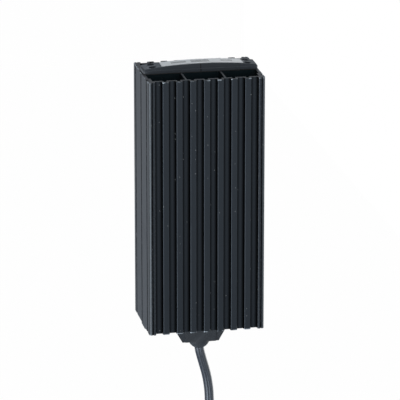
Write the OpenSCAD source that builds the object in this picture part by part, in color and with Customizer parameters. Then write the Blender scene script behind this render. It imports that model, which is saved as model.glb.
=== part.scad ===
// Enclosure heater: a corrugated aluminium profile with a heating stack in its middle channel,
// moulded end caps, a hanging supply cable and a spring clip for a 35 mm rail.
// Sizes in millimetres. X runs across the front, Y to the rear and Z up.
// The origin is the centre of the clip's seat on the rail.

/* [Profile] */
// Width of the extruded profile
profile_w = 70; // [66:1:90]
// Depth of the extruded profile over its ridges
profile_d = 50; // [46:1:70]
// Length of the extruded profile
profile_h = 156; // [120:1:240]
// Thickness of the corrugated outer wall
wall_t = 1.8; // [1.4:0.1:2.6]
// Number of ridges on the front and on the rear
face_ridges = 9; // [7:2:9]
// Width of one front or rear ridge
ridge_w = 4.1; // [3.6:0.1:4.5]
// Depth of the front and rear grooves
groove_depth = 2.6; // [1.8:0.1:3]
// Number of ridges on each side
side_ridges = 4; // [3:1:4]
// Distance from the profile's front or rear to the nearest side groove
side_margin = 7.5; // [6:0.5:10]
// Width of one side groove
side_groove_w = 1.6; // [1.2:0.1:2.4]
// Depth of the side grooves
side_groove_depth = 1.3; // [0.8:0.1:1.8]
// Radius along the front and rear ridge edges
crest_r = 0.8; // [0.4:0.1:1.2]
// Radius along the side ridge edges
side_crest_r = 0.4; // [0.2:0.1:0.6]
// Radius at the foot of the grooves
foot_r = 0.4; // [0.2:0.1:0.6]
// Radius of the four outer corners
corner_r = 1.7; // [1:0.1:1.7]
// Distance from the profile's side to the slot beside a corner
slot_inset = 2.1; // [2.1:0.1:2.6]
// Width of the slot beside a corner
slot_w = 0.7; // [0.5:0.1:0.8]
// Depth of the slot beside a corner
slot_depth = 0.8; // [0.4:0.1:1.2]
// Width of the pocket behind a front or rear ridge
ridge_pocket_w = 1.9; // [1.4:0.1:2.4]
// Width of the pocket behind a side ridge
side_pocket_w = 11; // [4:0.5:12]
// Thickness of the webs across the air cells
web_t = 1.1; // [0.9:0.1:2.5]
// Distance between the two webs of an air chamber
web_spacing = 23.6; // [16:0.2:30]

/* [Heating channel] */
// Depth of the channel that holds the heating stack
channel_d = 8; // [7.4:0.1:9]
// Wall around the channel
channel_wall = 1.8; // [1.2:0.1:2.4]
// Distance from the profile's side to a cap screw
port_inset = 6.4; // [5.4:0.1:6.8]
// Distance between the two cap screws at one end
port_spread = 6.2; // [5.4:0.1:6.4]

/* [Heating stack] */
// Width of one heating stone
stone_w = 44; // [30:1:46]
// Height of one heating stone
stone_h = 28; // [16:1:30]
// Thickness of a heating stone
stone_t = 2.5; // [2:0.1:2.8]
// Number of heating stones
stone_count = 4; // [2:1:4]
// Distance between two stones
stone_gap = 3; // [2:0.5:6]
// Thickness of an electrode plate and its tab
electrode_t = 0.8; // [0.5:0.1:1]
// Thickness of the insulation sleeve
sleeve_t = 0.5; // [0.3:0.05:0.6]
// Distance from the end of the stack to the end of the profile
stack_margin = 5; // [4.5:0.5:8]
// Thick end of the clamping wedge
wedge_thick = 2; // [1.6:0.1:2.2]
// Free width beside the stack in its channel
stack_clear = 0.3; // [0.2:0.05:0.6]

/* [Caps] */
// Step from the profile's side to the end of a cap
cap_inset = 0.6; // [0.4:0.1:1.5]
// Overhang of a cap past the channel walls
cap_overhang = 0.5; // [0.3:0.1:1]
// Thickness of the flange of both caps
flange_t = 1.7; // [1.4:0.1:2.4]
// Thickness of the seal under each cap
seal_t = 0.6; // [0.4:0.1:1]
// Step from the flange to the arched part of the top cap
arch_inset = 0.7; // [0.5:0.1:1.2]
// Height of the top cap at its middle
crown_h = 4.7; // [4.4:0.1:6]
// Radius of the top cap's arch
arch_r = 285; // [240:5:600]
// Length of a locating lug in the channel
lug_l = 5; // [3:0.5:7]
// Height of a locating lug
lug_h = 3; // [2:0.5:4]
// Free room round a locating lug
lug_clear = 0.2; // [0.1:0.05:0.3]
// Width of the label plate
label_w = 49; // [30:0.5:49]
// Step of the label to the right of the middle
label_shift = 1.2; // [0:0.1:1.2]
// Depth of the label plate
label_d = 9.4; // [6:0.2:9.6]
// Thickness of the label plate
label_t = 0.5; // [0.4:0.1:0.8]
// Depth of the label's recess
label_sink = 0.25; // [0.1:0.05:0.35]

/* [Cable outlet] */
// Width of the outlet hood at the profile
hood_top_w = 37; // [34:0.5:40]
// Width of the outlet hood at its lower edge
hood_low_w = 22.4; // [20:0.2:26]
// Height of the outlet hood below the profile
hood_h = 12.9; // [12:0.1:16]
// Wall of the outlet hood
hood_wall = 1.4; // [1.2:0.1:1.7]
// Room in the hood in front of and behind the channel
hood_room = 0.4; // [0.3:0.1:0.8]
// Width of the hood's raised middle
hood_mid_w = 18.8; // [16:0.2:19.4]
// Step from the hood's raised middle to its wings
hood_step = 0.5; // [0.2:0.1:0.7]
// Diameter of the outlet dome
dome_d = 13.4; // [12.6:0.1:14]
// Height of the dome's centre above the hood's lower edge
dome_lift = 1.1; // [0.6:0.1:1.4]
// Height of the strain relief collar
collar_h = 1.8; // [1.2:0.1:2]
// Diameter of the strain relief collar
collar_d = 8.4; // [7.4:0.1:8.6]

/* [Terminals] */
// Width of a terminal tab
tab_w = 4.8; // [4:0.1:5]
// Reach of a terminal tab below the profile
tab_drop = 4.4; // [4:0.1:4.6]
// Distance of the live and neutral tabs from the middle
tab_x = 9.6; // [9:0.1:10]
// Width of a receptacle
receptacle_w = 6.2; // [6:0.1:6.4]
// Thickness of a receptacle
receptacle_t = 2; // [1.8:0.1:2.2]
// Length of a receptacle's crimp barrel
barrel_l = 1.2; // [0.8:0.1:1.4]
// Diameter of an inner lead
lead_d = 1.8; // [1.4:0.1:2]
// Wall of a crimp barrel round its lead
barrel_wall = 0.2; // [0.1:0.05:0.3]
// Free room between a tab and its receptacle
tab_clear = 0.1; // [0.05:0.01:0.15]

/* [Cable] */
// Diameter of the cable
cable_d = 5.7; // [5.4:0.1:5.8]
// Diameter of one insulated core
core_d = 2.2; // [1.8:0.1:2.3]
// Free room round the cable in the outlet
cable_clear = 0.15; // [0.1:0.05:0.3]
// Radius of the coil at the middle of the cable
coil_r = 31; // [30:0.5:32]
// Width of the cable tie
tie_w = 4; // [3:0.5:6]
// Thickness of the cable tie
tie_t = 1; // [0.8:0.1:1.4]
// Length of the bare core ends
core_l = 20; // [14:1:30]
// Length of an end ferrule's metal tube
ferrule_l = 8; // [6:0.5:12]

/* [Rail clip] */
// Height of the rail
rail_h = 35; // [32:0.5:36]
// Thickness of the rail's flanges
rail_t = 1; // [0.8:0.1:1.5]
// Thickness of the clip's spring steel
clip_t = 1; // [0.8:0.1:1.5]
// Width of the clip
clip_w = 32; // [20:1:38]
// Free room between the clip and the rail
clip_clear = 0.3; // [0.2:0.05:0.5]
// Length of the upper lip
upper_lip = 3; // [2.4:0.1:4]
// Length of the lower lip
lower_lip = 2.6; // [2.4:0.1:3.2]
// Reach of the slanted lead-in
lead_in = 2.4; // [2:0.1:3]
// Inner radius of the clip's bends
bend_r = 0.5; // [0.3:0.1:0.7]
// Distance of a clip screw from the middle
clip_screw_z = 8; // [6:0.5:10]

/* [Screws] */
// Diameter of a cap screw
cap_screw_d = 2.2; // [1.9:0.1:2.4]
// Length of a cap screw below its head
cap_screw_l = 12; // [8:1:20]
// Diameter of a cap screw's head
cap_head_d = 4; // [3.4:0.1:4.2]
// Height of a cap screw's head
cap_head_h = 1.1; // [0.8:0.1:1.3]
// Diameter of a clip screw
clip_screw_d = 3.9; // [3:0.1:4.2]
// Length of a clip screw below its head
clip_screw_l = 5; // [4:0.1:5.2]
// Diameter of a clip screw's head
clip_head_d = 7; // [6:0.1:8]
// Height of a clip screw's head
clip_head_h = 2.2; // [1.6:0.1:2.6]
// Free room between a screw and its hole
screw_clear = 0.05; // [0.02:0.01:0.1]

/* [Hidden] */

$fn = 64;
arc_steps = 4;
cut = 1;

// Levels and planes of the assembly
mid_y = -clip_t - profile_d / 2;
top_z = profile_h / 2;
low_z = -profile_h / 2;

// Section of the profile
face_pitch = (profile_w - ridge_w) / (face_ridges - 1);
face_groove_w = face_pitch - ridge_w;
side_pitch = (profile_d - 2 * side_margin) / (side_ridges - 2);
face_inner = groove_depth + wall_t;
side_inner = side_groove_depth + wall_t;
slot_x = profile_w / 2 - slot_inset;
slot_y = (profile_d - slot_depth + cut) / 2;
port_x = profile_w / 2 - port_inset;
port_d = cap_screw_d + 2 * screw_clear;
channel_w = 2 * (port_x - port_d / 2 - channel_wall);
bar_d = channel_d + 2 * channel_wall;

// Layers of the heating stack from front to rear
stack_front = mid_y - channel_d / 2;
front_plate_y = stack_front + sleeve_t;
stone_y = front_plate_y + electrode_t;
rear_plate_y = stone_y + stone_t;
clamp_y = rear_plate_y + electrode_t + sleeve_t;
stack_rear = mid_y + channel_d / 2;
sleeve_w = channel_w - 2 * stack_clear;
stack_w = sleeve_w - 2 * sleeve_t;
stack_low = low_z + stack_margin;
stack_top = top_z - stack_margin;
stack_h = stack_top - stack_low;
stone_pitch = stone_h + stone_gap;
stone_clear = 0.2;
plate_thin = stack_rear - clamp_y - wedge_thick;
wedge_thin = 0.9;
plate_thick = stack_rear - clamp_y - wedge_thin;

// Caps
cap_l = profile_w - 2 * cap_inset;
cap_d = bar_d + 2 * cap_overhang;
cap_r = 1.2;
arch_facets = 360;
arch_l = cap_l - 2 * arch_inset;
arch_d = cap_d - 2 * arch_inset;
top_base = top_z + seal_t;
low_base = low_z - seal_t;
head_clear = 0.3;
hood_in_d = channel_d + 2 * hood_room;
hood_d = hood_in_d + 2 * hood_wall;
hood_low = low_z - hood_h;
hood_slope = (hood_top_w - hood_low_w) / 2 / hood_h;
hood_side_wall = hood_wall * sqrt(1 + hood_slope ^ 2);
hood_floor = hood_low + hood_wall;
dome_z = hood_low + dome_lift;
dome_low = dome_z - dome_d / 2;
outlet_d = cable_d + 2 * cable_clear;

// Terminals
live_y = front_plate_y;
neutral_y = rear_plate_y;
earth_y = stack_rear - wedge_thick;
tab_end = low_z - tab_drop;
receptacle_gap = 0.6;
receptacle_end = 0.4;
receptacle_top = low_z - receptacle_gap;
receptacle_low = tab_end - receptacle_end;
seam_w = 1.2;
barrel_z = (receptacle_top + tab_end) / 2;
barrel_d = lead_d + 2 * barrel_wall;
barrel_x = tab_x - receptacle_w / 2 - barrel_l;
lead_sides = 8;
lead_steps = 6;

// Middle of the profile's lower end, which the cable's places are measured from
outlet = [0, mid_y, low_z];
coil_drop = 98;
coil_step = 8.7;
tail_l = 24;
tail_steps = 3;
// Route of the cable's free stretch, from inside the hood to the front of the coil
cable_points = [[0, 0, -8], [0, 0, -13], [0, 0, -16], [0.1, 0, -18], [0.5, 0, -20.5], [1.1, 0, -23],
    [2.3, 0, -27.5], [3.7, 0, -32.5], [4.9, 0, -37.5], [5.8, 0, -43], [6.3, 0, -48], [6.6, 0, -54],
    [7.6, 0, -61], [10.4, 0, -68], [15.4, 0, -74.4], [21.6, 0, -80], [27, 0, -85.8], [30, 0, -92],
    [coil_r, 0, -coil_drop]];
cable_route = [for (p = cable_points) outlet + p];
cable_start = cable_route[0];
// Middle of the coil, which hangs behind that stretch
coil_middle = outlet + [0, coil_step, -coil_drop];
// Route of the cable's end, behind the coil
tail_start = coil_middle + [coil_r, coil_step, 0];
tail_end = tail_start - [0, 0, tail_l];
tail_route = [for (t = [0:tail_steps]) tail_start + (tail_end - tail_start) * t / tail_steps];
core_offset = 1.3;
earth_angle = 90;
live_angle = 210;
neutral_angle = 330;
core_tilt = 7;
core_start = 0.2;
tie_clear = 0.2;
tie_head_l = 4.5;
tie_head_d = 5;
ferrule_d = 1.5;
ferrule_collar_h = 1;
ferrule_collar_wall = 0.4;
route_sides = 10;
up = [0, 0, 1];

// Clip
clip_in_z = rail_h / 2 + clip_clear;
lip_y = rail_t + clip_clear;
lip_bow = 0.8;

// Heads of the screws, as shares of their diameter
cross_w_share = 0.16;
cross_l_share = 0.6;
dome_share = 0.8;

// Points of an arc
function arc(c, r, from, to) = [for (i = [0:arc_steps])
    let (a = from + (to - from) * i / arc_steps) c + r * [cos(a), sin(a)]];

// One groove in a wall along X with its face on y = 0
function groove(x, w, depth, r) = concat(
    arc([x - w / 2 - r, r], r, -90, 0),
    arc([x - w / 2 + foot_r, depth - foot_r], foot_r, 180, 90),
    arc([x + w / 2 - foot_r, depth - foot_r], foot_r, 90, 0),
    arc([x + w / 2 + r, r], r, 180, 270));

// The places of a row of things spread evenly about the middle
function row(count, pitch) = [for (i = [0:count - 1]) (i - (count - 1) / 2) * pitch];

// Outer face of one wall with its grooves and the corner that follows it
function outer_wall(l, ridges, pitch, w, depth, r) = concat(
    [for (x = row(ridges - 1, pitch), p = groove(x, w, depth, r)) p],
    arc([l / 2 - corner_r, corner_r], corner_r, -90, 0));

// Inner face of one wall, with a pocket behind each ridge that isn't at a corner
function inner_wall(l, ridges, pitch, w, depth, r, inner, next_inner) = concat(
    [for (x = row(ridges - 2, pitch), p = groove(x, w, depth, r)) [p.x, inner - p.y]],
    arc([l / 2 - next_inner - foot_r, inner + foot_r], foot_r, -90, 0));

// A wall's points turned into place round the profile
function turned(points, a, c) = [for (p = points)
    [cos(a) * p.x - sin(a) * p.y, sin(a) * p.x + cos(a) * p.y] + c];

// The four walls in turn: front, right, rear and left
function ring(face, side) = concat(
    turned(face, 0, [0, -profile_d / 2]),
    turned(side, 90, [profile_w / 2, 0]),
    turned(face, 180, [0, profile_d / 2]),
    turned(side, 270, [-profile_w / 2, 0]));

function unit(v) = v / norm(v);

// Arc that rounds corner b of the path a, b, c
function bend(a, b, c, r) =
    let (
        u = unit(a - b),
        v = unit(c - b),
        half = acos(u * v) / 2,
        m = b + unit(u + v) * r / sin(half),
        s = b + u * r / tan(half) - m,
        start = atan2(s.y, s.x),
        way = sign(cross(b - a, c - b)))
    arc(m, r, start, start + way * (180 - 2 * half));

// A path of straight runs with its corners rounded
function bent(path, r) = concat(
    [path[0]],
    [for (i = [1:len(path) - 2], p = bend(path[i - 1], path[i], path[i + 1], r)) p],
    [path[len(path) - 1]]);

// Unit normal of a path at one of its points
function path_normal(path, i) =
    let (
        d = unit(path[min(i + 1, len(path) - 1)] - path[i == len(path) - 1 ? i - 1 : i])
            + unit(path[max(i, 1)] - path[max(i - 1, 0)]),
        t = unit(d))
    [-t.y, t.x];

// Outline of a strip of even thickness along a path
function strip(path, t) = concat(
    [for (i = [0:len(path) - 1]) path[i] + path_normal(path, i) * t / 2],
    [for (i = [len(path) - 1:-1:0]) path[i] - path_normal(path, i) * t / 2]);

// Point and direction of a curve with two control points
function curve_point(p, t) =
    (1 - t) ^ 3 * p[0] + 3 * (1 - t) ^ 2 * t * p[1] + 3 * (1 - t) * t ^ 2 * p[2] + t ^ 3 * p[3];
function curve_way(p, t) =
    unit((1 - t) ^ 2 * (p[1] - p[0]) + 2 * (1 - t) * t * (p[2] - p[1]) + t ^ 2 * (p[3] - p[2]));

// Place of one core in the cable's round section
function core_place(a) = core_offset * [cos(a), sin(a), 0];

// Directions along a list of points
function route_ways(points) = [for (i = [0:len(points) - 1])
    unit(points[min(i + 1, len(points) - 1)] - points[max(i - 1, 0)])];

// A tube swept along points with their directions
module tube(points, ways, d, sides) {
    n = len(points);
    rings = [for (i = [0:n - 1])
        let (u = unit(cross([0, 1, 0], ways[i])), v = cross(ways[i], u))
        for (k = [0:sides - 1]) points[i] + d / 2 * (cos(360 * k / sides) * u + sin(360 * k / sides) * v)];
    walls = [for (i = [0:n - 2], k = [0:sides - 1], half = [0, 1])
        let (a = i * sides + k, b = i * sides + (k + 1) % sides)
        half == 0 ? [a, a + sides, b] : [b, a + sides, b + sides]];
    start = [[for (k = [0:sides - 1]) k]];
    finish = [[for (k = [sides - 1:-1:0]) (n - 1) * sides + k]];
    polyhedron(rings, concat(walls, start, finish));
}

// A rectangle with round corners
module round_rect(w, d, r) {
    square([w - 2 * r, d], center = true);
    square([w, d - 2 * r], center = true);
    for (x = [-1, 1], y = [-1, 1])
        translate([x * (w / 2 - r), y * (d / 2 - r)]) circle(r);
}

// Draws a flat shape of X and Z as a slab of thickness d about the profile's middle
module slab(d) {
    translate([0, mid_y, 0]) rotate([90, 0, 0]) linear_extrude(d, center = true) children();
}

module at_ports(z) {
    for (x = [-port_x, port_x], y = row(2, port_spread)) translate([x, mid_y + y, z]) children();
}

module block(x0, x1, y0, y1, z0, z1) {
    translate([x0, y0, z0]) cube([x1 - x0, y1 - y0, z1 - z0]);
}

// Pan screw with its head on z = 0, pointing down, with a cross recess
module pan_screw(d, l, head_d, head_h) {
    recess_w = head_d * cross_w_share;
    recess_l = head_d * cross_l_share;
    dome_r = head_d * dome_share;
    difference() {
        union() {
            translate([0, 0, -l]) cylinder(d = d, h = l);
            rotate_extrude() intersection() {
                square([head_d / 2, head_h]);
                translate([0, head_h - dome_r]) circle(dome_r);
            }
        }
        for (a = [0, 90]) rotate(a)
            translate([-recess_l / 2, -recess_w / 2, head_h / 2]) cube([recess_l, recess_w, head_h]);
    }
}

module air_cells() {
    difference() {
        polygon(ring(
            inner_wall(profile_w, face_ridges, face_pitch, ridge_pocket_w, groove_depth, crest_r,
                face_inner, side_inner),
            inner_wall(profile_d, side_ridges, side_pitch, side_pocket_w, side_groove_depth, side_crest_r,
                side_inner, face_inner)));
        square([profile_w, bar_d], center = true);
        for (x = row(2, web_spacing)) translate([x, 0]) square([web_t, profile_d], center = true);
    }
}

module profile_section() {
    difference() {
        polygon(ring(
            outer_wall(profile_w, face_ridges, face_pitch, face_groove_w, groove_depth, crest_r),
            outer_wall(profile_d, side_ridges, side_pitch, side_groove_w, side_groove_depth, side_crest_r)));
        air_cells();
        square([channel_w, channel_d], center = true);
        for (x = [-port_x, port_x], y = row(2, port_spread)) translate([x, y]) circle(d = port_d);
        for (x = [-slot_x, slot_x], y = [-slot_y, slot_y])
            translate([x, y]) square([slot_w, slot_depth + cut], center = true);
    }
}

module clip_screw_holes() {
    for (z = [-clip_screw_z, clip_screw_z])
        translate([0, -clip_t - face_inner - cut, z]) rotate([-90, 0, 0])
            cylinder(d = clip_screw_d + 2 * screw_clear, h = clip_t + face_inner + 2 * cut);
}

module heatsink_profile() {
    color([0.17, 0.19, 0.21]) difference() {
        translate([0, mid_y, low_z]) linear_extrude(profile_h) profile_section();
        clip_screw_holes();
    }
}

// Flat seal between the end of the profile and a cap
module cap_seal(z) {
    difference() {
        translate([0, mid_y, z]) linear_extrude(seal_t) difference() {
            round_rect(arch_l, bar_d, cap_r);
            square([channel_w, channel_d], center = true);
        }
        at_ports(z - cut) cylinder(d = port_d, h = seal_t + 2 * cut);
    }
}

module cap_flange(z) {
    translate([0, mid_y, z]) linear_extrude(flange_t) round_rect(cap_l, cap_d, cap_r);
}

// Lugs that centre a cap in the two ends of the channel
module cap_lugs(z, h) {
    lug_d = channel_d - 2 * lug_clear;
    lug_x = channel_w / 2 - lug_clear;
    for (s = [-1, 1])
        translate([s * (lug_x - lug_l / 2), mid_y, z + h / 2]) cube([lug_l, lug_d, h], center = true);
}

// Disc of the arch, grown or shrunk by a depth below its surface
module arch_disc(below) {
    translate([0, top_base + crown_h - arch_r]) circle(arch_r - below, $fn = arch_facets);
}

// Side view of the arched part of the top cap
module arch_section() {
    intersection() {
        translate([-arch_l / 2, top_base]) square([arch_l, crown_h]);
        arch_disc(0);
    }
}

// Side view of the label's place, from its seat up to a depth below the arch
module label_section(below) {
    intersection() {
        translate([label_shift - label_w / 2, top_base]) square([label_w, crown_h + label_t]);
        difference() {
            arch_disc(below);
            arch_disc(label_sink);
        }
    }
}

module top_cap() {
    head_seat = top_base + flange_t;
    color([0.2, 0.21, 0.22]) difference() {
        union() {
            cap_flange(top_base);
            slab(arch_d) arch_section();
            cap_lugs(top_z - lug_h, lug_h + seal_t);
        }
        at_ports(top_z) cylinder(d = port_d, h = crown_h);
        at_ports(head_seat) cylinder(d = cap_head_d + head_clear, h = crown_h);
        slab(label_d) label_section(-label_t);
    }
}

module top_cap_seal() {
    color([0.12, 0.12, 0.12]) cap_seal(top_z);
}

module top_cap_screws() {
    color([0.35, 0.36, 0.37]) at_ports(top_base + flange_t)
        pan_screw(cap_screw_d, cap_screw_l, cap_head_d, cap_head_h);
}

module label_plate() {
    color([0.68, 0.7, 0.72]) slab(label_d) label_section(label_sink - label_t);
}

// Side view of the outlet hood, narrowed evenly by an inset
module hood_section(inset, z0, z1) {
    half = hood_top_w / 2 - inset;
    polygon([[-half + hood_slope * (low_z - z1), z1], [half - hood_slope * (low_z - z1), z1],
        [half - hood_slope * (low_z - z0), z0], [-half + hood_slope * (low_z - z0), z0]]);
}

// Round outlet below the hood, flush with the front and rear of its raised middle
module outlet_dome() {
    intersection() {
        translate([0, mid_y, dome_z]) sphere(d = dome_d);
        translate([0, mid_y, dome_z]) cube([2 * dome_d, hood_d, 2 * dome_d], center = true);
    }
}

module bottom_cap() {
    color([0.2, 0.21, 0.22]) difference() {
        union() {
            cap_flange(low_base - flange_t);
            cap_lugs(low_z - seal_t, lug_h + seal_t);
            slab(hood_d - 2 * hood_step) hood_section(0, hood_low, low_base);
            slab(hood_d) translate([-hood_mid_w / 2, hood_low]) square([hood_mid_w, low_base - hood_low]);
            outlet_dome();
        }
        slab(hood_in_d) hood_section(hood_side_wall, hood_floor, low_base + cut);
        at_ports(low_base - flange_t - cut) cylinder(d = port_d, h = flange_t + 2 * cut);
        translate([0, mid_y, dome_low - cut]) cylinder(d = outlet_d, h = hood_floor - dome_low + 2 * cut);
    }
}

module bottom_cap_seal() {
    color([0.12, 0.12, 0.12]) cap_seal(low_z - seal_t);
}

module bottom_cap_screws() {
    color([0.35, 0.36, 0.37]) at_ports(low_base - flange_t) rotate([180, 0, 0])
        pan_screw(cap_screw_d, cap_screw_l, cap_head_d, cap_head_h);
}

// The stones, or the windows round them where a clearance and an overcut are given
module stone_row(clear, over) {
    for (z = row(stone_count, stone_pitch))
        block(-stone_w / 2 - clear, stone_w / 2 + clear, stone_y - over, rear_plate_y + over,
            z - stone_h / 2 - clear, z + stone_h / 2 + clear);
}

module ptc_stones() {
    color([0.45, 0.42, 0.4]) stone_row(0, 0);
}

module stone_frame() {
    frame_gap = 0.1;
    color([0.9, 0.88, 0.8]) difference() {
        block(-stack_w / 2, stack_w / 2, stone_y + frame_gap, rear_plate_y - frame_gap, stack_low, stack_top);
        stone_row(stone_clear, cut);
    }
}

// Electrode plate with its tab reaching out of the channel
module electrode(y, x) {
    block(-stack_w / 2, stack_w / 2, y, y + electrode_t, stack_low, stack_top);
    block(x - tab_w / 2, x + tab_w / 2, y, y + electrode_t, tab_end, stack_low);
}

module front_electrode() {
    color([0.75, 0.6, 0.3]) electrode(front_plate_y, -tab_x);
}

module rear_electrode() {
    color([0.75, 0.6, 0.3]) electrode(rear_plate_y, tab_x);
}

module insulation_sleeve() {
    color([0.8, 0.5, 0.15]) difference() {
        block(-sleeve_w / 2, sleeve_w / 2, stack_front, clamp_y, stack_low, stack_top);
        block(-stack_w / 2, stack_w / 2, front_plate_y, clamp_y - sleeve_t, stack_low - cut, stack_top + cut);
    }
}

// Draws a side view of Y and Z as a bar of width w across the channel
module crossbar(w) {
    rotate([90, 0, 90]) linear_extrude(w, center = true) children();
}

module pressure_plate() {
    color([0.6, 0.61, 0.62]) crossbar(stack_w)
        polygon([[clamp_y, stack_low], [clamp_y + plate_thin, stack_low],
            [clamp_y + plate_thick, stack_top], [clamp_y, stack_top]]);
}

module clamp_wedge() {
    color([0.66, 0.67, 0.68]) {
        crossbar(stack_w)
            polygon([[clamp_y + plate_thin, stack_low], [stack_rear, stack_low],
                [stack_rear, stack_top], [clamp_y + plate_thick, stack_top]]);
        block(-tab_w / 2, tab_w / 2, earth_y, earth_y + electrode_t, tab_end, stack_low);
    }
}

// Push-on receptacle on a tab at x and y, open along its front seam
module receptacle(x, y) {
    tab_mid = y + electrode_t / 2;
    difference() {
        block(x - receptacle_w / 2, x + receptacle_w / 2, tab_mid - receptacle_t / 2,
            tab_mid + receptacle_t / 2, receptacle_low, receptacle_top);
        block(x - tab_w / 2 - tab_clear, x + tab_w / 2 + tab_clear, y - tab_clear,
            y + electrode_t + tab_clear, tab_end, receptacle_top + cut);
        block(x - seam_w / 2, x + seam_w / 2, tab_mid - receptacle_t, y, tab_end, receptacle_top + cut);
    }
}

// Crimp barrel pointing towards the middle, from the side of a receptacle
module side_barrel(side, y) {
    translate([side * barrel_x, y + electrode_t / 2, barrel_z])
        rotate([0, side * 90, 0]) cylinder(d = barrel_d, h = barrel_l);
}

module live_connector() {
    color([0.8, 0.68, 0.3]) {
        receptacle(-tab_x, live_y);
        side_barrel(-1, live_y);
    }
}

module neutral_connector() {
    color([0.8, 0.68, 0.3]) {
        receptacle(tab_x, neutral_y);
        side_barrel(1, neutral_y);
    }
}

module earth_connector() {
    color([0.8, 0.68, 0.3]) {
        receptacle(0, earth_y);
        translate([0, earth_y + electrode_t / 2, receptacle_low - barrel_l])
            cylinder(d = barrel_d, h = barrel_l);
    }
}

// Lead that leaves the cable's inner end upwards and turns sideways into a barrel
module side_lead(side, y, a) {
    from = cable_start + core_place(a);
    to = [side * barrel_x, y + electrode_t / 2, barrel_z];
    curve = [from, [from.x, from.y, (from.z + to.z) / 2], [from.x, to.y, to.z], to];
    points = [for (i = [0:lead_steps]) curve_point(curve, i / lead_steps)];
    ways = [for (i = [0:lead_steps]) curve_way(curve, i / lead_steps)];
    tube(points, ways, lead_d, lead_sides);
}

module live_lead() {
    color([0.4, 0.22, 0.1]) side_lead(-1, live_y, live_angle);
}

module neutral_lead() {
    color([0.15, 0.3, 0.65]) side_lead(1, neutral_y, neutral_angle);
}

module earth_lead() {
    from = cable_start + core_place(earth_angle);
    to = [0, earth_y + electrode_t / 2, receptacle_low - barrel_l];
    color([0.4, 0.6, 0.15]) tube([from, to], [up, up], lead_d, lead_sides);
}

module cable_collar() {
    color([0.25, 0.25, 0.26]) translate([0, mid_y, hood_floor]) difference() {
        cylinder(d = collar_d, h = collar_h);
        translate([0, 0, -cut]) cylinder(d = cable_d, h = collar_h + 2 * cut);
    }
}

module power_cable() {
    color([0.1, 0.1, 0.11]) tube(cable_route, route_ways(cable_route), cable_d, route_sides);
}

// Two turns of the cable side by side, with room round them
module coil_section(extra) {
    square([cable_d + 2 * extra, cable_d], center = true);
    for (s = [-1, 1]) translate([0, s * cable_d / 2]) circle(d = cable_d + 2 * extra);
}

module cable_coil() {
    color([0.1, 0.1, 0.11]) translate(coil_middle) rotate([90, 0, 0])
        rotate_extrude() translate([coil_r, 0]) coil_section(0);
}

module cable_tail() {
    color([0.1, 0.1, 0.11]) tube(tail_route, route_ways(tail_route), cable_d, route_sides);
}

module cable_tie() {
    color([0.08, 0.08, 0.08]) translate(coil_middle - [coil_r, 0, 0]) linear_extrude(tie_w, center = true)
        difference() {
            union() {
                coil_section(tie_clear + tie_t);
                translate([cable_d / 2 + tie_clear, -tie_head_d / 2]) square([tie_head_l, tie_head_d]);
            }
            coil_section(tie_clear);
        }
}

// Turns a shape that points up into line with one of the cores, which spread from the cable's end
module on_core(a) {
    translate(tail_end - core_start * up + core_place(a)) rotate(a) rotate([0, 180 - core_tilt, 0]) children();
}

module bare_core(a) {
    on_core(a) cylinder(d = core_d, h = core_l);
}

module live_core() {
    color([0.4, 0.22, 0.1]) bare_core(live_angle);
}

module neutral_core() {
    color([0.15, 0.3, 0.65]) bare_core(neutral_angle);
}

module earth_core() {
    color([0.4, 0.6, 0.15]) bare_core(earth_angle);
}

module core_ferrules() {
    color([0.75, 0.75, 0.76]) for (a = [live_angle, neutral_angle, earth_angle])
        on_core(a) translate([0, 0, core_l]) {
            cylinder(d = ferrule_d, h = ferrule_l);
            cylinder(d = core_d + 2 * ferrule_collar_wall, h = ferrule_collar_h);
        }
}

module din_clip() {
    mid = clip_t / 2;
    top = clip_in_z + mid;
    lip = lip_y + mid;
    path = [[lip, clip_in_z - upper_lip], [lip, top], [-mid, top], [-mid, -top], [lip, -top],
        [lip + lip_bow, -clip_in_z + lower_lip], [lip + lead_in, -clip_in_z]];
    color([0.62, 0.64, 0.66]) difference() {
        crossbar(clip_w) polygon(strip(bent(path, bend_r + mid), clip_t));
        clip_screw_holes();
    }
}

module din_clip_screws() {
    color([0.6, 0.61, 0.62]) for (z = [-clip_screw_z, clip_screw_z])
        translate([0, 0, z]) rotate([-90, 0, 0])
            pan_screw(clip_screw_d, clip_screw_l, clip_head_d, clip_head_h);
}

heatsink_profile();
top_cap();
top_cap_seal();
top_cap_screws();
label_plate();
bottom_cap();
bottom_cap_seal();
bottom_cap_screws();
ptc_stones();
stone_frame();
front_electrode();
rear_electrode();
insulation_sleeve();
pressure_plate();
clamp_wedge();
live_connector();
neutral_connector();
earth_connector();
live_lead();
neutral_lead();
earth_lead();
cable_collar();
power_cable();
cable_coil();
cable_tail();
cable_tie();
live_core();
neutral_core();
earth_core();
core_ferrules();
din_clip();
din_clip_screws();
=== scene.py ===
"""Looks of an upright enclosure heater: its finishes, its hanging cable and the small details on it."""

import math

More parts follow.
